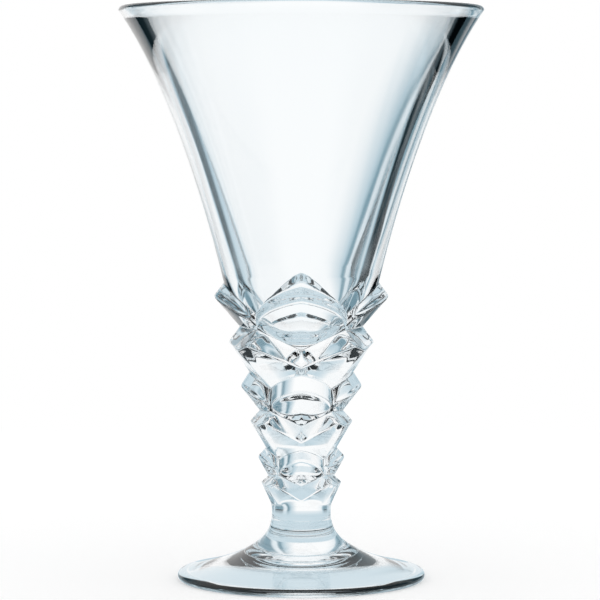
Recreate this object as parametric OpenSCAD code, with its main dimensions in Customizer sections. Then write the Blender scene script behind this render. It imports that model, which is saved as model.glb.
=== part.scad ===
// Stemmed dessert glass: a flared bowl on a petalled collar, a tiered stem and a round foot.
// Millimetres, +Z up, origin at the centre of the circle that the foot stands on.

/* [Foot] */
// Diameter of the foot
foot_d = 80; // [60:0.5:110]
// Height of the face that the stem is welded to
foot_h = 18.7; // [14:0.1:26]
// Thickness of the foot's round edge
foot_edge_t = 3; // [2:0.1:5]
// Width of the flat ring that touches the table
foot_ring_w = 2; // [1:0.1:6]
// Height of the dome under the foot, where its stepped ring begins
foot_hollow_h = 5.8; // [2:0.1:7]
// Radius of the stepped ring in the hollow
foot_step_r = 17; // [14:0.5:22]
// Radius of the flat disc in the middle of the hollow
foot_disc_r = 11.6; // [6:0.1:13]
// Height of each step in the hollow
foot_step_h = 0.4; // [0.2:0.1:0.8]

/* [Stem] */
// Radius of the neck between the foot and the lowest tier
neck_r = 9.5; // [7:0.1:12]
// Height of the neck
neck_h = 5.8; // [4:0.1:12]
// How much wider the neck is at the weld to the foot
neck_flare = 0.4; // [0.2:0.1:1]
// Radius of the weld between the stem and the bowl's collar, at the middle of a face
bowl_weld_r = 17.3; // [14:0.1:22]
// Height of the stem above the neck
stem_h = 43.6; // [34:0.1:56]

/* [Bowl] */
// Height of the petalled collar above the weld
collar_h = 28.1; // [22:0.1:36]
// Diameter of the rim
rim_d = 117.2; // [100:0.5:140]
// Height of the bowl with its collar, above the weld
bowl_h = 116.9; // [105:0.5:150]
// Thickness of the rounded lip
lip_t = 3; // [2:0.1:4]
// Thickness of the wall where the bowl meets its collar
wall_t = 8.6; // [6:0.1:10]
// Thickness of the glass under the bottom of the hollow, down to the weld
floor_t = 12.4; // [8:0.1:16]

/* [Hidden] */

glass = [0.86, 0.92, 0.94, 0.45];
curve_steps = 24;
steps_per_quarter = 16;
turn_steps = 4 * steps_per_quarter;
lip_steps = 10;

stem_z = foot_h + neck_h;
weld_z = stem_z + stem_h;
rim_z = weld_z + bowl_h;
rim_r = rim_d / 2;
lip_r = lip_t / 2;
foot_r = foot_d / 2;
foot_edge_r = foot_edge_t / 2;

// A tier has a lower row with flat facets and an upper row of four petals.
// Each edge is [azimuth, radius, height] at its corners.
// Edges of a lower row run in straight lines from the front, 0, to the side, 90, where the halves of the mould meet:
// a V in front, a blunt corner and a tip at the side. The back is like the front.
// Edges of the petals are pointed arches from the middle of a face, 0, to the node between two faces, 45.
// Heights in the stem are above the neck, heights in the collar are above the weld.
// They are drawn for these sizes, and follow when the sizes change.
drawn_neck_r = 9.5;
drawn_weld_r = 17.3;
drawn_stem_h = 43.6;
drawn_collar_h = 28.1;

function stem_edge(edge) = [
    for (p = edge) [
        p[0],
        neck_r + (p[1] - drawn_neck_r) * (bowl_weld_r - neck_r) / (drawn_weld_r - drawn_neck_r),
        p[2] * stem_h / drawn_stem_h
    ]
];

function collar_edge(edge) = [
    for (p = edge) [p[0], p[1] + bowl_weld_r - drawn_weld_r, p[2] * collar_h / drawn_collar_h]
];

low_row_corner = stem_edge([[0, 10.4, 2.2], [40, 14.8, 7.8], [50, 14.8, 6.7], [90, 13.0, 7.1]]);
low_row_top = stem_edge([[0, 7.4, 6.4], [45, 10.9, 10.1], [90, 10.8, 9.0]]);
low_petal_corner = stem_edge([[0, 14.1, 15.4], [45, 10.3, 10.9]]);
low_petal_top = stem_edge([[0, 11.4, 18.3], [45, 9.5, 15.0]]);

mid_row_corner = stem_edge([[0, 12.6, 21.1], [40, 18.8, 27.7], [50, 18.7, 26.4], [90, 16.6, 26.9]]);
mid_row_top = stem_edge([[0, 9.0, 26.0], [45, 13.8, 30.7], [90, 13.6, 30.3]]);
mid_petal_corner = stem_edge([[0, 19.7, 38.3], [45, 13.8, 32.3]]);
mid_petal_top = stem_edge([[0, 16.8, 42.9], [45, 13.2, 38.0]]);

collar_row_corner = collar_edge([[0, 18.3, 2.0], [40, 26.8, 9.1], [50, 26.6, 7.4], [90, 23.5, 9.0]]);
collar_row_top = collar_edge([[0, 13.0, 7.0], [45, 19.7, 13.6], [90, 20.0, 13.9]]);
collar_petal_corner = collar_edge([[0, 28.4, 23.7], [45, 20.4, 15.8]]);
collar_petal_top = collar_edge([[0, 25.0, 28.1], [45, 20.3, 18.9]]);
collar_bury = 1.2;

function bezier(a, b, c, d) = [
    for (i = [0:curve_steps])
        let (t = i / curve_steps, u = 1 - t)
        u * u * u * a + 3 * u * u * t * b + 3 * u * t * t * c + t * t * t * d
];

function arc(centre, radius, from, to, steps) = [
    for (i = [0:steps])
        let (a = from + (to - from) * i / steps)
        centre + radius * [cos(a), sin(a)]
];

// Angle from the middle of the nearest face, 0 to 45
function from_face(a) = let (m = a % 90) m <= 45 ? m : 90 - m;

// Angle from the front or the back, 0 to 90
function from_front(a) = abs(a % 180 - 90);

function in_plan(p) = [p[1] * sin(p[0]), p[1] * cos(p[0]), p[2]];

// Radius and height where an edge of straight lines passes an angle from the front
function straight_point(edge, a, k = 0) =
    k + 2 < len(edge) && a > edge[k + 1][0] ? straight_point(edge, a, k + 1) :
    let (p = in_plan(edge[k]), q = in_plan(edge[k + 1]), d = q - p)
    let (t = (p[1] * sin(a) - p[0] * cos(a)) / (d[0] * cos(a) - d[1] * sin(a)))
    let (w = p + t * d)
    [norm([w[0], w[1]]), w[2]];

// Radius and height where an arched edge passes an angle from the middle of a face
function arched_point(edge, a) =
    let (share = a / 45, reach = pow(share, 1.5), d = edge[1] - edge[0])
    [edge[0][1] + d[1] * reach, edge[0][2] + d[2] * (0.25 * share + 0.75 * reach)];

function at_turn(i) = 360 * i / turn_steps;

function placed(p, a, base_z) = [p[0] * cos(a), p[0] * sin(a), base_z + p[1]];

function row_ring(edge, base_z) = [
    for (i = [0:turn_steps - 1]) placed(straight_point(edge, from_front(at_turn(i))), at_turn(i), base_z)
];

function petal_ring(edge, base_z) = [
    for (i = [0:turn_steps - 1]) placed(arched_point(edge, from_face(at_turn(i))), at_turn(i), base_z)
];

// The outline that the stem and the collar share: the weld cuts the surface from the last petal to the next row
function weld_ring() = [
    for (i = [0:turn_steps - 1])
        let (a = at_turn(i))
        let (p = arched_point(mid_petal_top, from_face(a)), q = straight_point(collar_row_corner, from_front(a)))
        let (below = stem_h - p[1])
        placed([p[0] + (q[0] - p[0]) * below / (below + q[1]), 0], a, weld_z)
];

function round_ring(radius, z) = petal_ring([[0, radius, z], [45, radius, z]], 0);

// A closed solid through rings that are listed from the bottom up
module loft(rings) {
    n = turn_steps;
    last = len(rings) - 1;
    side = [
        for (k = [0:last - 1], i = [0:n - 1])
            let (j = (i + 1) % n)
            each [
                [k * n + i, (k + 1) * n + i, (k + 1) * n + j],
                [k * n + i, (k + 1) * n + j, k * n + j]
            ]
    ];
    bottom = [[for (i = [0:n - 1]) i]];
    top = [[for (i = [0:n - 1]) last * n + n - 1 - i]];
    polyhedron(points = [for (r = rings) each r], faces = concat(side, bottom, top));
}

module foot() {
    top = bezier(
        [neck_r + neck_flare, foot_h],
        [neck_r + neck_flare + 0.9, foot_h * 0.64],
        [foot_r * 0.525, foot_edge_t + 3.8],
        [foot_r - foot_edge_r, foot_edge_t]);
    edge = arc([foot_r - foot_edge_r, foot_edge_r], foot_edge_r, 90, -90, 12);
    hollow_r = foot_r - foot_edge_r - foot_ring_w;
    dome_w = hollow_r - foot_step_r;
    dome = bezier(
        [hollow_r, 0],
        [hollow_r - dome_w / 3, foot_hollow_h * 0.38],
        [foot_step_r + dome_w / 3, foot_hollow_h * 0.76],
        [foot_step_r, foot_hollow_h]);
    step_z = foot_hollow_h + foot_step_h;
    disc_z = foot_hollow_h + 2 * foot_step_h;
    steps = [
        [foot_step_r, step_z],
        [foot_disc_r, step_z],
        [foot_disc_r, disc_z],
        [0, disc_z],
        [0, foot_h]
    ];
    color(glass)
        rotate_extrude($fn = 96)
            polygon(concat(top, edge, dome, steps));
}

module stem() {
    color(glass)
        loft([
            round_ring(neck_r + neck_flare, foot_h),
            round_ring(neck_r + neck_flare / 2, foot_h + neck_h * 0.09),
            round_ring(neck_r, foot_h + neck_h * 0.27),
            round_ring(neck_r, stem_z - neck_h * 0.27),
            round_ring(neck_r + neck_flare / 2, stem_z),
            row_ring(low_row_corner, stem_z),
            row_ring(low_row_top, stem_z),
            petal_ring(low_petal_corner, stem_z),
            petal_ring(low_petal_top, stem_z),
            row_ring(mid_row_corner, stem_z),
            row_ring(mid_row_top, stem_z),
            petal_ring(mid_petal_corner, stem_z),
            petal_ring(mid_petal_top, stem_z),
            weld_ring()
        ]);
}

module collar() {
    loft([
        weld_ring(),
        row_ring(collar_row_corner, weld_z),
        row_ring(collar_row_top, weld_z),
        petal_ring(collar_petal_corner, weld_z),
        petal_ring(collar_petal_top, weld_z),
        round_ring(collar_petal_top[0][1] - collar_bury, weld_z + collar_h + collar_bury)
    ]);
}

module bowl() {
    seat = [collar_petal_top[0][1], weld_z + collar_h];
    shoulder_z = rim_z - lip_r;
    rise = shoulder_z - seat[1];
    reach = rim_r - seat[0];
    inner_r = seat[0] - wall_t;
    hollow_z = weld_z + floor_t;
    outside = bezier(
        seat,
        seat + [reach * 0.214, rise * 0.344],
        seat + [reach * 0.571, rise * 0.765],
        [rim_r, shoulder_z]);
    lip = arc([rim_r - lip_r, shoulder_z], lip_r, 0, 180, lip_steps);
    inside = bezier(
        [rim_r - lip_t, shoulder_z],
        [inner_r + (reach + wall_t - lip_t) * 0.5, seat[1] + rise * 0.765],
        [inner_r + (reach + wall_t - lip_t) * 0.26, seat[1] + rise * 0.344],
        [inner_r, seat[1]]);
    bottom = bezier(
        [inner_r, seat[1]],
        [inner_r * 0.81, hollow_z + (seat[1] - hollow_z) * 0.4],
        [inner_r * 0.6, hollow_z],
        [0, hollow_z]);
    hollow = concat([[0, rim_z + 1], [rim_r - lip_t, rim_z + 1]], inside, bottom);
    base_r = collar_petal_top[1][1] - collar_bury / 2;
    wall = concat(
        [[0, weld_z + collar_petal_top[1][2] - collar_bury]],
        [[base_r, weld_z + collar_petal_top[1][2] - collar_bury]],
        outside, lip, [[0, shoulder_z]]);
    color(glass)
        difference() {
            union() {
                rotate_extrude($fn = 128) polygon(wall);
                collar();
            }
            rotate_extrude($fn = 128) polygon(hollow);
        }
}

bowl();
stem();
foot();
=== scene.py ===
"""Clear pressed dessert glass: a flared bowl on a petalled collar, a tiered stem and a round foot."""

import math

import bmesh
import bpy
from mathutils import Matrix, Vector


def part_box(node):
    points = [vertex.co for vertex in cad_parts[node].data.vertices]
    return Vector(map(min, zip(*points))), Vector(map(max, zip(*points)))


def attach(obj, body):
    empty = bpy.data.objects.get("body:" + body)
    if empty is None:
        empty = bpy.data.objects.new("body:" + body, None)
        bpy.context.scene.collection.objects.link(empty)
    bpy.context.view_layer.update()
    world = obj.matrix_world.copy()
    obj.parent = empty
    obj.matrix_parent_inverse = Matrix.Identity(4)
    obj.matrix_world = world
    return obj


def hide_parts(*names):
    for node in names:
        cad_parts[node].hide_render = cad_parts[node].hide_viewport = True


bl_info = {
    "name": "Tiered dessert glass",
    "version": (1, 0, 0),
    "blender": (4, 5, 0),
    "location": "View3D > Sidebar > Dessert glass",
    "description": "Models a pressed glass bowl, its tiered stem and its foot on the CAD frame",
    "category": "Object",
}

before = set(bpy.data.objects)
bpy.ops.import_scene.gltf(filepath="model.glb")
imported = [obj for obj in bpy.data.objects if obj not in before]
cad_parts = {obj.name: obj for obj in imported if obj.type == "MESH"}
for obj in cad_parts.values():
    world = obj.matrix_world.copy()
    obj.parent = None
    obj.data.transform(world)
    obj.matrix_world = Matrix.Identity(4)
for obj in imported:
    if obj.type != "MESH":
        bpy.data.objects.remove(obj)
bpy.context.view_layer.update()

MM = 0.001
FOOT_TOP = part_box("foot")[1].z
FOOT_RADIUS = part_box("foot")[1].x
WELD_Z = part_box("stem")[1].z
RIM_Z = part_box("bowl")[1].z
RIM_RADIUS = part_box("bowl")[1].x

# A turn has eight half faces, from the middle of a face, 0, to the node between two faces, 45 degrees.
HALF_FACES = 8
HALF_FACE = 45
HALF_FACE_ANGLES = (
    0, 0.3, 0.7, 1.2, 2, 3.5, 6, 9, 12, 15, 18, 21, 24, 27, 30, 33, 35.5, 37.5,
    38.6, 39.2, 39.7, 40.2, 40.7, 41.3, 42.2, 43.2, 43.9, 44.4, 44.75,
)
TURN_STEPS = HALF_FACES * len(HALF_FACE_ANGLES)

# Each edge of a tier: its kind, its rounding in mm, and the angle, radius and height of its corners,
# in degrees and mm. A tier has a lower row with flat facets and an upper row of four petals.
# Edges of the lower row run in straight lines from the front, 0, to the side, 90, where the halves of
# the mould meet: a V in front, a blunt corner and a tip at the side. First its corner line, then its top line.
# Edges of the petals are pointed arches from the middle of a face, 0, to the node, 45, in the same order.
# Heights in the stem are above the neck, heights in the collar are above the weld.
STEM_EDGES = (
    ("straight", 0.4, ((0, 10.4, 2.2), (40, 14.8, 7.8), (50, 14.8, 6.7), (90, 13.0, 7.1))),
    ("straight", 0.3, ((0, 7.4, 6.4), (45, 10.9, 10.1), (90, 10.8, 9.0))),
    ("arched", 0.8, ((0, 14.1, 15.4), (45, 10.3, 10.9))),
    ("arched", 0.3, ((0, 11.4, 18.3), (45, 9.5, 15.0))),
    ("straight", 0.5, ((0, 12.6, 21.1), (40, 18.8, 27.7), (50, 18.7, 26.4), (90, 16.6, 26.9))),
    ("straight", 0.3, ((0, 9.0, 26.0), (45, 13.8, 30.7), (90, 13.6, 30.3))),
    ("arched", 1.0, ((0, 19.7, 38.3), (45, 13.8, 32.3))),
    ("arched", 0.3, ((0, 16.8, 42.9), (45, 13.2, 38.0))),
)
COLLAR_EDGES = (
    ("straight", 0.6, ((0, 18.3, 2.0), (40, 26.8, 9.1), (50, 26.6, 7.4), (90, 23.5, 9.0))),
    ("straight", 0.3, ((0, 13.0, 7.0), (45, 19.7, 13.6), (90, 20.0, 13.9))),
    ("arched", 1.2, ((0, 28.4, 23.7), (45, 20.4, 15.8))),
    ("arched", 0.3, ((0, 25.0, 28.1), (45, 20.3, 18.9))),
)
# How a petal's edge falls from its tip: partly straight, partly steeper towards the node.
PETAL_SLOPE = 0.25
PETAL_POWER = 1.5

# Fire polish softens a crease over its neighbours, this far apart in mm, and rounds each corner of a profile.
CREASE_ROUNDING = 0.3
CREASE_WEIGHTS = ((-2, 0.1), (-1, 0.2), (0, 0.4), (1, 0.2), (2, 0.1))
CORNER_STEPS = 4
MOST_OF_FLAT = 0.4
FLAT_POINTS = (0.08, 0.5, 0.92)
NECK_ROUNDING = 0.8 * MM
STEP_ROUNDING = 0.3 * MM
SMOOTH_BELOW = math.radians(50)

# Handles of the bowl's curves, as shares of each curve's reach and rise.
OUTSIDE_HANDLES = ((0.214, 0.344), (0.571, 0.765))
INSIDE_HANDLES = ((0.5, 0.765), (0.26, 0.344))
BOTTOM_HANDLES = ((0.81, 0.4), (0.6, 0))
CURVE_STEPS = 30
LIP_STEPS = 12
BOTTOM_STEPS = 16

# Shares of the neck's height at which its flare is half gone and gone.
FLARE_HALF_GONE = 0.09
FLARE_GONE = 0.27

# Handles of the foot's top, beside the neck and over the edge, and the heights of those of its dome.
NECK_HANDLE_OUT = 0.9 * MM
NECK_HANDLE_UP = 0.64
EDGE_HANDLE_OUT = 0.525
EDGE_HANDLE_UP = 3.8 * MM
DOME_HANDLES_UP = (0.38, 0.76)
EDGE_STEPS = 14
DOME_STEPS = 20

# Rings are stacked this far apart before they are shaped, and the smallest is closed at a pole.
LEVEL_STEP = 0.001
RING_TOLERANCE = 0.05 * MM
POLE_RADIUS = 0.2 * MM
POLE_REACH = 1 * MM

# The faint waves that a mould leaves in the glass.
WAVE_SCALE = 90
WAVE_STRENGTH = 0.02
WAVE_DEPTH = 0.2 * MM


class BowlSizes(bpy.types.PropertyGroup):
    """Sizes of the bowl and its collar."""

    rim_radius: bpy.props.FloatProperty(
        name="Rim radius", description="Outer radius of the rim", default=RIM_RADIUS, unit="LENGTH")
    rim_height: bpy.props.FloatProperty(
        name="Rim height", description="Height of the rim above the table", default=RIM_Z, unit="LENGTH")
    lip: bpy.props.FloatProperty(
        name="Lip", description="Thickness of the rounded lip", default=3 * MM, unit="LENGTH")
    wall: bpy.props.FloatProperty(
        name="Wall", description="Thickness of the wall above the collar", default=8.6 * MM, unit="LENGTH")
    floor: bpy.props.FloatProperty(
        name="Floor", description="Glass under the hollow, down to the weld",
        default=12.4 * MM, unit="LENGTH")


class StemSizes(bpy.types.PropertyGroup):
    """Sizes of the stem."""

    neck_radius: bpy.props.FloatProperty(
        name="Neck radius", description="Radius of the round neck", default=9.5 * MM, unit="LENGTH")
    neck_height: bpy.props.FloatProperty(
        name="Neck height", description="Height of the round neck", default=5.8 * MM, unit="LENGTH")
    neck_flare: bpy.props.FloatProperty(
        name="Neck flare", description="How much wider the neck is at its weld",
        default=0.4 * MM, unit="LENGTH")


class FootSizes(bpy.types.PropertyGroup):
    """Sizes of the foot."""

    radius: bpy.props.FloatProperty(
        name="Radius", description="Outer radius of the foot", default=FOOT_RADIUS, unit="LENGTH")
    edge: bpy.props.FloatProperty(
        name="Edge", description="Thickness of the round edge", default=3 * MM, unit="LENGTH")
    ring: bpy.props.FloatProperty(
        name="Ring", description="Width of the ring that stands on the table", default=2 * MM, unit="LENGTH")
    hollow: bpy.props.FloatProperty(
        name="Hollow", description="Height of the dome underneath", default=5.8 * MM, unit="LENGTH")
    step_radius: bpy.props.FloatProperty(
        name="Step radius", description="Radius of the ring in the hollow", default=17 * MM, unit="LENGTH")
    disc_radius: bpy.props.FloatProperty(
        name="Disc radius", description="Radius of the disc in the hollow", default=11.6 * MM, unit="LENGTH")
    step: bpy.props.FloatProperty(
        name="Step", description="Height of each step in the hollow", default=0.4 * MM, unit="LENGTH")


class GlassLook(bpy.types.PropertyGroup):
    """Colour and polish of the glass."""

    tint: bpy.props.FloatVectorProperty(
        name="Tint", description="Colour of the clear glass", subtype="COLOR", size=4, min=0, max=1,
        default=(0.986, 0.996, 1, 1))
    bend: bpy.props.FloatProperty(
        name="Bend", description="How strongly the glass bends light", default=1.52)


def bezier(a, b, c, d, steps):
    """Points of one curve from a to d."""
    points = []
    for i in range(steps + 1):
        t = i / steps
        u = 1 - t
        points.append(u * u * u * a + 3 * u * u * t * b + 3 * u * t * t * c + t * t * t * d)
    return points


def arc(centre, radius, start, end, steps):
    """Points of one arc, its angles in degrees."""
    angles = [math.radians(start + (end - start) * i / steps) for i in range(steps + 1)]
    return [centre + radius * Vector((math.cos(a), math.sin(a))) for a in angles]


def handle_points(corner, reach, rise, handles):
    """Handles of a curve, from their shares of its reach and rise."""
    return [corner + Vector((reach * out, rise * up)) for out, up in handles]


def turn_angles():
    """Azimuth of each step of a turn, in degrees, closer together at faces, bevels and nodes."""
    angles = []
    for half_face in range(HALF_FACES):
        if half_face % 2 == 0:
            angles += [HALF_FACE * half_face + a for a in HALF_FACE_ANGLES]
        else:
            angles += [HALF_FACE * (half_face + 1) - a for a in (HALF_FACE, *HALF_FACE_ANGLES[:0:-1])]
    return angles


def straight_point(corners, angle):
    """Radius and height where an edge of straight lines passes an angle."""
    k = 0
    while k + 2 < len(corners) and angle > corners[k + 1][0]:
        k += 1
    (x0, y0, z0), (x1, y1, z1) = [
        (r * math.sin(math.radians(a)), r * math.cos(math.radians(a)), z) for a, r, z in corners[k:k + 2]]
    aside, ahead = math.sin(math.radians(angle)), math.cos(math.radians(angle))
    t = (y0 * aside - x0 * ahead) / ((x1 - x0) * ahead - (y1 - y0) * aside)
    return Vector((math.hypot(x0 + t * (x1 - x0), y0 + t * (y1 - y0)), z0 + t * (z1 - z0)))


def arched_point(corners, angle):
    """Radius and height where an arched edge passes an angle."""
    (_, r0, z0), (_, r1, z1) = corners
    share = angle / HALF_FACE
    steep = share ** PETAL_POWER
    return Vector((r0 + (r1 - r0) * steep, z0 + (z1 - z0) * (PETAL_SLOPE * share + (1 - PETAL_SLOPE) * steep)))


def edge_point(edge, azimuth):
    """Radius and height of a tier's edge at an azimuth, with its creases softened as fire polish does."""
    kind, _, corners = edge
    spread = math.degrees(CREASE_ROUNDING / corners[0][1])
    total = Vector((0, 0))
    for shift, weight in CREASE_WEIGHTS:
        turned = azimuth + shift * spread
        if kind == "straight":
            total += weight * straight_point(corners, abs(turned % 180 - 90))
        else:
            total += weight * arched_point(corners, min(turned % 90, 90 - turned % 90))
    return total * MM


def tier_points(edges, base_z, azimuth):
    """Corners of the tiers at one azimuth, each with its rounding."""
    return [(edge_point(edge, azimuth) + Vector((0, base_z)), edge[1] * MM) for edge in edges]


def weld_point(neck_top, azimuth):
    """Point of the outline at the weld, between the stem's last edge and the collar's first."""
    low = edge_point(STEM_EDGES[-1], azimuth) + Vector((0, neck_top))
    high = edge_point(COLLAR_EDGES[0], azimuth) + Vector((0, WELD_Z))
    share = (WELD_Z - low.y) / (high.y - low.y)
    return low.lerp(high, share)


def soften(corners):
    """Rounds each corner of a profile, and puts support points on each flat."""
    points = [corners[0][0]]
    last = len(corners) - 1
    for k in range(1, last + 1):
        before = corners[k - 1][0]
        here, rounding = corners[k]
        start = points[-1]
        flat_end = here
        if k < last:
            after = corners[k + 1][0]
            reach_in = min(rounding, MOST_OF_FLAT * (here - before).length)
            reach_out = min(rounding, MOST_OF_FLAT * (after - here).length)
            flat_end = here + (before - here).normalized() * reach_in
        for share in FLAT_POINTS:
            points.append(start.lerp(flat_end, share))
        points.append(flat_end)
        if k < last:
            leave = here + (after - here).normalized() * reach_out
            for i in range(1, CORNER_STEPS + 1):
                t = i / CORNER_STEPS
                points.append(flat_end.lerp(here, t).lerp(here.lerp(leave, t), t))
    return points


def ring_stack(name, profiles):
    """Extrudes a ring upwards, level by level, then sets each level's ring to the profile at its azimuth."""
    levels = len(profiles[0][1])
    bpy.ops.object.select_all(action="DESELECT")
    bpy.ops.mesh.primitive_circle_add(vertices=TURN_STEPS, radius=1, location=(0, 0, 0))
    piece = bpy.context.active_object
    piece.name = name
    piece.data.name = name
    bpy.ops.object.mode_set(mode="EDIT")
    bpy.ops.mesh.select_all(action="SELECT")
    for _ in range(levels - 1):
        bpy.ops.mesh.extrude_region_move(TRANSFORM_OT_translate={"value": (0, 0, LEVEL_STEP)})
    mesh = bmesh.from_edit_mesh(piece.data)
    for v in mesh.verts:
        step = round(math.atan2(v.co.y, v.co.x) / math.tau * TURN_STEPS) % TURN_STEPS
        azimuth, points = profiles[step]
        azimuth = math.radians(azimuth)
        radius, height = points[round(v.co.z / LEVEL_STEP)]
        v.co = (radius * math.cos(azimuth), radius * math.sin(azimuth), height)
    bmesh.update_edit_mesh(piece.data)
    piece.data.materials.append(polished_glass())
    piece.data.materials.append(weld_face())
    return piece


def select_ring(piece, height, reach=math.inf):
    """Selects the open ring at one height, if it lies within reach of the axis."""
    bpy.ops.mesh.select_mode(type="EDGE")
    bpy.ops.mesh.select_all(action="DESELECT")
    mesh = bmesh.from_edit_mesh(piece.data)
    for e in mesh.edges:
        place = (e.verts[0].co + e.verts[1].co) / 2
        if e.is_boundary and place.xy.length < reach and abs(place.z - height) < RING_TOLERANCE:
            e.select_set(True)
    mesh.select_flush(True)
    bmesh.update_edit_mesh(piece.data)


def close_with_face(piece, height):
    """Closes an open ring with one flat weld face, which takes the material in the piece's second place."""
    select_ring(piece, height)
    bpy.ops.mesh.edge_face_add()
    piece.active_material_index = 1
    bpy.ops.object.material_slot_assign()


def close_with_pole(piece, height):
    """Closes a small open ring at one point."""
    select_ring(piece, height, POLE_REACH)
    bpy.ops.mesh.merge(type="CENTER")


def finish_piece(piece, node):
    """Faces point outwards, corners shade softly, and the piece takes its CAD node's place."""
    bpy.ops.mesh.select_all(action="SELECT")
    bpy.ops.mesh.normals_make_consistent(inside=False)
    bpy.ops.object.mode_set(mode="OBJECT")
    bpy.ops.object.shade_smooth_by_angle(angle=SMOOTH_BELOW)
    weld_edges = {key for face in piece.data.polygons if face.material_index == 1 for key in face.edge_keys}
    for edge in piece.data.edges:
        if edge.key in weld_edges:
            edge.use_edge_sharp = True
    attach(piece, "root")
    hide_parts(node)


def add_node(tree, kind, **values):
    """Adds one node and sets its values."""
    node = tree.nodes.new(kind)
    for key, value in values.items():
        setattr(node, key, value)
    return node


def polished_glass():
    """Fire polished pressed glass: clear, with the faint waviness that a mould leaves."""
    made = bpy.data.materials.get("polished_glass")
    if made:
        return made
    look = bpy.context.scene.glass_look
    made = bpy.data.materials.new("polished_glass")
    made.use_nodes = True
    tree = made.node_tree
    shader = tree.nodes["Principled BSDF"]
    shader.inputs["Base Color"].default_value = look.tint
    shader.inputs["Transmission Weight"].default_value = 1
    shader.inputs["IOR"].default_value = look.bend
    shader.inputs["Roughness"].default_value = 0
    place = add_node(tree, "ShaderNodeTexCoord")
    waves = add_node(tree, "ShaderNodeTexNoise")
    waves.inputs["Scale"].default_value = WAVE_SCALE
    waves.inputs["Detail"].default_value = 1
    relief = add_node(tree, "ShaderNodeBump")
    relief.inputs["Strength"].default_value = WAVE_STRENGTH
    relief.inputs["Distance"].default_value = WAVE_DEPTH
    tree.links.new(place.outputs["Object"], waves.inputs["Vector"])
    tree.links.new(waves.outputs["Fac"], relief.inputs["Height"])
    tree.links.new(relief.outputs["Normal"], shader.inputs["Normal"])
    return made


def weld_face():
    """A weld inside the glass: light goes straight through."""
    made = bpy.data.materials.get("weld_face")
    if made:
        return made
    made = bpy.data.materials.new("weld_face")
    made.use_nodes = True
    tree = made.node_tree
    tree.nodes.remove(tree.nodes["Principled BSDF"])
    through = add_node(tree, "ShaderNodeBsdfTransparent")
    tree.links.new(through.outputs["BSDF"], tree.nodes["Material Output"].inputs["Surface"])
    return made


class BuildBowl(bpy.types.Operator):
    """Models the bowl with its petalled collar"""

    bl_idname = "dessert_glass.bowl"
    bl_label = "Bowl and collar"

    def execute(self, context):
        sizes = context.scene.glass_bowl
        neck_top = FOOT_TOP + context.scene.glass_stem.neck_height
        seat = Vector(COLLAR_EDGES[-1][2][0][1:]) * MM + Vector((0, WELD_Z))
        inner_seat = seat - Vector((sizes.wall, 0))
        shoulder = sizes.rim_height - sizes.lip / 2
        rise = shoulder - seat.y
        reach = sizes.rim_radius - seat.x
        inner_reach = reach + sizes.wall - sizes.lip
        hollow = WELD_Z + sizes.floor
        outside = bezier(
            seat, *handle_points(seat, reach, rise, OUTSIDE_HANDLES),
            Vector((sizes.rim_radius, shoulder)), CURVE_STEPS)
        lip = arc(Vector((sizes.rim_radius - sizes.lip / 2, shoulder)), sizes.lip / 2, 0, 180, LIP_STEPS)
        inside = bezier(
            Vector((sizes.rim_radius - sizes.lip, shoulder)),
            *handle_points(inner_seat, inner_reach, rise, INSIDE_HANDLES), inner_seat, CURVE_STEPS)
        bottom_middle = Vector((0, hollow))
        bottom = bezier(
            inner_seat, *handle_points(bottom_middle, inner_seat.x, seat.y - hollow, BOTTOM_HANDLES),
            bottom_middle, BOTTOM_STEPS)
        bottom[-1] = Vector((POLE_RADIUS, hollow))
        body = outside[2:] + lip[1:] + inside[1:] + bottom[1:]
        profiles = []
        for azimuth in turn_angles():
            corners = [(weld_point(neck_top, azimuth), 0)]
            corners += tier_points(COLLAR_EDGES, WELD_Z, azimuth)
            corners.append((outside[1], 0))
            profiles.append((azimuth, soften(corners) + body))
        piece = ring_stack("bowl_glass", profiles)
        close_with_face(piece, WELD_Z)
        close_with_pole(piece, hollow)
        finish_piece(piece, "bowl")
        return {"FINISHED"}


class BuildStem(bpy.types.Operator):
    """Models the tiered stem with its neck"""

    bl_idname = "dessert_glass.stem"
    bl_label = "Stem and neck"

    def execute(self, context):
        sizes = context.scene.glass_stem
        neck_top = FOOT_TOP + sizes.neck_height
        half_flared = sizes.neck_radius + sizes.neck_flare / 2
        neck = (
            (sizes.neck_radius + sizes.neck_flare, FOOT_TOP),
            (half_flared, FOOT_TOP + FLARE_HALF_GONE * sizes.neck_height),
            (sizes.neck_radius, FOOT_TOP + FLARE_GONE * sizes.neck_height),
            (sizes.neck_radius, neck_top - FLARE_GONE * sizes.neck_height),
            (half_flared, neck_top),
        )
        profiles = []
        for azimuth in turn_angles():
            corners = [(Vector(point), NECK_ROUNDING) for point in neck]
            corners += tier_points(STEM_EDGES, neck_top, azimuth)
            corners.append((weld_point(neck_top, azimuth), 0))
            profiles.append((azimuth, soften(corners)))
        piece = ring_stack("stem_glass", profiles)
        close_with_face(piece, FOOT_TOP)
        close_with_face(piece, WELD_Z)
        finish_piece(piece, "stem")
        return {"FINISHED"}


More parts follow.
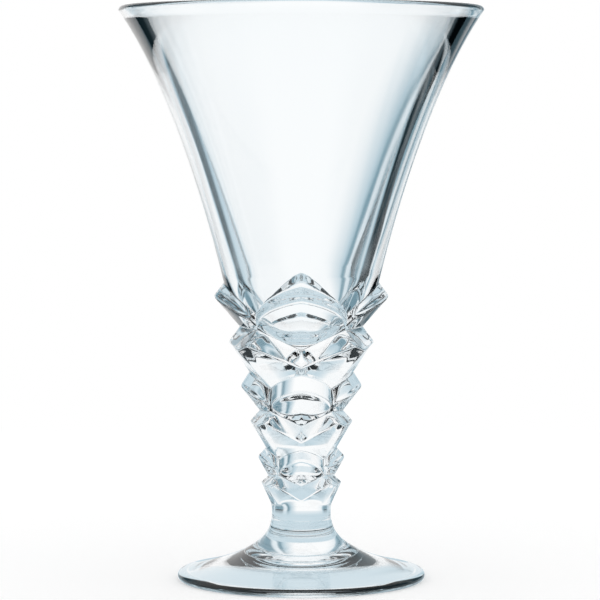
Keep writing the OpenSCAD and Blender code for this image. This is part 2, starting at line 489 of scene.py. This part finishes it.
class BuildFoot(bpy.types.Operator):
    """Models the round foot with the stepped dome under it"""

    bl_idname = "dessert_glass.foot"
    bl_label = "Foot"

    def execute(self, context):
        sizes = context.scene.glass_foot
        stem = context.scene.glass_stem
        weld = stem.neck_radius + stem.neck_flare
        edge_r = sizes.edge / 2
        rim = sizes.radius - edge_r
        top = bezier(
            Vector((weld, FOOT_TOP)),
            Vector((weld + NECK_HANDLE_OUT, FOOT_TOP * NECK_HANDLE_UP)),
            Vector((sizes.radius * EDGE_HANDLE_OUT, sizes.edge + EDGE_HANDLE_UP)),
            Vector((rim, sizes.edge)), CURVE_STEPS)
        edge = arc(Vector((rim, edge_r)), edge_r, 90, -90, EDGE_STEPS)
        ring_inside = rim - sizes.ring
        step_z = sizes.hollow + sizes.step
        disc_z = sizes.hollow + 2 * sizes.step
        dome_reach = ring_inside - sizes.step_radius
        low_up, high_up = DOME_HANDLES_UP
        dome = bezier(
            Vector((ring_inside, 0)),
            Vector((ring_inside - dome_reach / 3, sizes.hollow * low_up)),
            Vector((sizes.step_radius + dome_reach / 3, sizes.hollow * high_up)),
            Vector((sizes.step_radius, sizes.hollow)), DOME_STEPS)
        under = soften([
            (dome[-1], 0),
            (Vector((sizes.step_radius, step_z)), STEP_ROUNDING),
            (Vector((sizes.disc_radius, step_z)), STEP_ROUNDING),
            (Vector((sizes.disc_radius, disc_z)), STEP_ROUNDING),
            (Vector((POLE_RADIUS, disc_z)), 0),
        ])
        profile = top + edge[1:] + dome + under[1:]
        piece = ring_stack("foot_glass", [(azimuth, profile) for azimuth in turn_angles()])
        close_with_face(piece, FOOT_TOP)
        close_with_pole(piece, disc_z)
        finish_piece(piece, "foot")
        return {"FINISHED"}


FLOOR_WIDTH = 0.9
FLOOR_COLOUR = (0.75, 0.75, 0.75, 1)
FLOOR_GLOW = 0.27
WHITE = (1, 1, 1, 1)

# Light that the glass sees round the room: degrees from straight behind it, to the right, and level there.
# A white wall behind fades to the right, and a dark gap on each side parts it from the side panels.
ROOM_PANELS = (
    (-180, 1.0), (-150, 1.0), (-125, 0.7), (-100, 1.0), (-75, 0.9), (-53, 0.6), (-48, 0.1), (-39, 0.05),
    (-35, 0.5), (-32, 0.9), (-22, 1.0), (6, 1.0), (15, 0.6), (17, 0.25), (19, 0.25), (21, 0.85), (25, 0.85),
    (29, 0.01), (50, 0.01), (53, 0.5), (57, 0.8), (63, 0.2), (100, 0.25), (125, 0.2), (150, 1.0),
)
# To the glass the far floor glows with painted reflections of the panels, and near the glass it glows one
# level of painted shade. On the walls no panel is darker than the least level, and above them is the ceiling.
NEAR_FLOOR = 0.1
NEAR_FLOOR_PAINTED_SHADE = 0.7
FAR_FLOOR = 0.35
LEAST_PAINTED_PANEL_LEVEL = 0
LEAST_WALL_LEVEL = 0.3
CEILING_STARTS = 0.3
CEILING_ENDS = 0.7
CEILING_LEVEL = 0.95
# How much less red and more blue a middle grey is.
LESS_RED = 0.6
MORE_BLUE = 0.32

# Sockets of a Mix node that mixes colours.
MIX_A = 6
MIX_B = 7
MIX_RESULT = 2


def cool_grey(level):
    """A grey of a level, as cool as the photograph's mid tones."""
    bend = level * (1 - level)
    return (level - LESS_RED * bend, level, level + MORE_BLUE * bend, 1)


def glass_ray(tree, path):
    """One where a ray comes from the glass, and zero where it comes from the camera or carries light."""
    either = add_node(tree, "ShaderNodeMath", operation="MAXIMUM")
    tree.links.new(path.outputs["Is Glossy Ray"], either.inputs[0])
    tree.links.new(path.outputs["Is Transmission Ray"], either.inputs[1])
    return either.outputs[0]


def panel_colour(tree, place, least):
    """Colour of the panel that a direction points to in the room's light, or of its painted reflection at a
    place on the floor, no darker than a level.
    """
    parts = add_node(tree, "ShaderNodeSeparateXYZ")
    turn = add_node(tree, "ShaderNodeMath", operation="ARCTAN2")
    share = add_node(tree, "ShaderNodeMapRange")
    share.inputs["From Min"].default_value = -math.pi
    share.inputs["From Max"].default_value = math.pi
    ramp = add_node(tree, "ShaderNodeValToRGB")
    stops = ramp.color_ramp.elements
    while len(stops) > 1:
        stops.remove(stops[-1])
    for degrees, level in ROOM_PANELS:
        position = 0.5 + degrees / 360
        stop = stops.new(position) if position else stops[0]
        stop.position = position
        stop.color = cool_grey(max(level, least))
    tree.links.new(place, parts.inputs["Vector"])
    tree.links.new(parts.outputs["X"], turn.inputs[0])
    tree.links.new(parts.outputs["Y"], turn.inputs[1])
    tree.links.new(turn.outputs[0], share.inputs["Value"])
    tree.links.new(share.outputs["Result"], ramp.inputs["Fac"])
    return ramp.outputs["Color"]


def pale_floor():
    """Pale matt floor that keeps the shadow and reads as white; to the glass it glows with painted reflections
    of the panels, and one level of painted shade near the glass.
    """
    made = bpy.data.materials.new("pale_floor")
    made.use_nodes = True
    tree = made.node_tree
    tree.nodes.remove(tree.nodes["Principled BSDF"])
    matt = add_node(tree, "ShaderNodeBsdfDiffuse")
    matt.inputs["Color"].default_value = FLOOR_COLOUR
    path = add_node(tree, "ShaderNodeLightPath")
    level = add_node(tree, "ShaderNodeMath", operation="MULTIPLY")
    level.inputs[1].default_value = FLOOR_GLOW
    glow = add_node(tree, "ShaderNodeEmission")
    both = add_node(tree, "ShaderNodeAddShader")
    place = add_node(tree, "ShaderNodeTexCoord")
    distance = add_node(tree, "ShaderNodeVectorMath", operation="LENGTH")
    far = add_node(tree, "ShaderNodeMapRange")
    far.inputs["From Min"].default_value = NEAR_FLOOR
    far.inputs["From Max"].default_value = FAR_FLOOR
    # Painted shade: near the glass the floor glows one cool grey level to the glass, darker than the white the
    # camera sees.
    colour = add_node(tree, "ShaderNodeMix", data_type="RGBA")
    colour.inputs[MIX_A].default_value = cool_grey(NEAR_FLOOR_PAINTED_SHADE)
    # Painted reflection: to the glass the floor glows with the room's panels and their dark gaps, not with its
    # own lit colour.
    panels = add_node(tree, "ShaderNodeEmission")
    mix = add_node(tree, "ShaderNodeMixShader")
    tree.links.new(path.outputs["Is Camera Ray"], level.inputs[0])
    tree.links.new(level.outputs[0], glow.inputs["Strength"])
    tree.links.new(matt.outputs["BSDF"], both.inputs[0])
    tree.links.new(glow.outputs["Emission"], both.inputs[1])
    tree.links.new(place.outputs["Object"], distance.inputs[0])
    tree.links.new(distance.outputs["Value"], far.inputs["Value"])
    tree.links.new(far.outputs["Result"], colour.inputs["Factor"])
    tree.links.new(panel_colour(tree, place.outputs["Object"], LEAST_PAINTED_PANEL_LEVEL), colour.inputs[MIX_B])
    tree.links.new(colour.outputs[MIX_RESULT], panels.inputs["Color"])
    tree.links.new(glass_ray(tree, path), mix.inputs["Fac"])
    tree.links.new(both.outputs["Shader"], mix.inputs[1])
    tree.links.new(panels.outputs["Emission"], mix.inputs[2])
    tree.links.new(mix.outputs["Shader"], tree.nodes["Material Output"].inputs["Surface"])
    return made


def light_the_room():
    """White to the camera, even to the floor, and bright panels with dark gaps at the sides to the glass."""
    world = bpy.data.worlds.new("studio")
    bpy.context.scene.world = world
    world.use_nodes = True
    tree = world.node_tree
    even = tree.nodes["Background"]
    even.inputs["Color"].default_value = WHITE
    even.inputs["Strength"].default_value = 1
    path = add_node(tree, "ShaderNodeLightPath")
    direction = add_node(tree, "ShaderNodeTexCoord")
    parts = add_node(tree, "ShaderNodeSeparateXYZ")
    height = add_node(tree, "ShaderNodeMapRange")
    height.inputs["From Min"].default_value = CEILING_STARTS
    height.inputs["From Max"].default_value = CEILING_ENDS
    walls = panel_colour(tree, direction.outputs["Generated"], LEAST_WALL_LEVEL)
    colour = add_node(tree, "ShaderNodeMix", data_type="RGBA")
    colour.inputs[MIX_B].default_value = cool_grey(CEILING_LEVEL)
    panels = add_node(tree, "ShaderNodeBackground")
    mix = add_node(tree, "ShaderNodeMixShader")
    tree.links.new(direction.outputs["Generated"], parts.inputs["Vector"])
    tree.links.new(parts.outputs["Z"], height.inputs["Value"])
    tree.links.new(height.outputs["Result"], colour.inputs["Factor"])
    tree.links.new(walls, colour.inputs[MIX_A])
    tree.links.new(colour.outputs[MIX_RESULT], panels.inputs["Color"])
    tree.links.new(glass_ray(tree, path), mix.inputs["Fac"])
    tree.links.new(even.outputs["Background"], mix.inputs[1])
    tree.links.new(panels.outputs["Background"], mix.inputs[2])
    tree.links.new(mix.outputs["Shader"], tree.nodes["World Output"].inputs["Surface"])


# The camera and what it frames, in metres, and the picture's width and shift in pixels.
CAMERA_DISTANCE = 0.953
CAMERA_HEIGHT = 0.1506
FRAME_MIDDLE = 0.0905
FRAME_WIDTH = 0.1936
PICTURE_PIXELS = 600
PICTURE_SHIFT = -1.3


def place_camera():
    """A long lens near the height of the rim, looking slightly down."""
    bpy.ops.object.camera_add(location=(0, -CAMERA_DISTANCE, CAMERA_HEIGHT))
    camera = bpy.context.active_object
    camera.name = "camera"
    sight = Vector((0, 0, FRAME_MIDDLE)) - camera.location
    camera.rotation_mode = "QUATERNION"
    camera.rotation_quaternion = sight.to_track_quat("-Z", "Y")
    camera.data.lens = camera.data.sensor_width * sight.length / FRAME_WIDTH
    camera.data.shift_x = PICTURE_SHIFT / PICTURE_PIXELS
    camera.data.clip_start = 0.01
    camera.data.clip_end = 100
    bpy.context.scene.camera = camera


class BuildStage(bpy.types.Operator):
    """Adds the pale floor, the soft studio light and the camera"""

    bl_idname = "dessert_glass.stage"
    bl_label = "Stage"

    def execute(self, context):
        bpy.ops.object.select_all(action="DESELECT")
        bpy.ops.mesh.primitive_plane_add(size=FLOOR_WIDTH, location=(0, 0, 0))
        floor = bpy.context.active_object
        floor.name = "floor"
        floor.data.materials.append(pale_floor())
        light_the_room()
        place_camera()
        context.scene.view_settings.view_transform = "Standard"
        return {"FINISHED"}


class DessertGlassPanel(bpy.types.Panel):
    """Lists the pieces of the glass"""

    bl_idname = "VIEW3D_PT_dessert_glass"
    bl_label = "Dessert glass"
    bl_space_type = "VIEW_3D"
    bl_region_type = "UI"
    bl_category = "Dessert glass"

    def draw(self, context):
        for operator in (BuildBowl, BuildStem, BuildFoot, BuildStage):
            self.layout.operator(operator.bl_idname)


GROUPS = {"glass_bowl": BowlSizes, "glass_stem": StemSizes, "glass_foot": FootSizes, "glass_look": GlassLook}
CLASSES = (*GROUPS.values(), BuildBowl, BuildStem, BuildFoot, BuildStage, DessertGlassPanel)


def register():
    for item in CLASSES:
        bpy.utils.register_class(item)
    for name, group in GROUPS.items():
        setattr(bpy.types.Scene, name, bpy.props.PointerProperty(type=group))


def unregister():
    for name in GROUPS:
        delattr(bpy.types.Scene, name)
    for item in reversed(CLASSES):
        bpy.utils.unregister_class(item)


def main():
    register()
    bpy.ops.dessert_glass.bowl()
    bpy.ops.dessert_glass.stem()
    bpy.ops.dessert_glass.foot()
    bpy.ops.dessert_glass.stage()


if __name__ == "__main__":
    main()
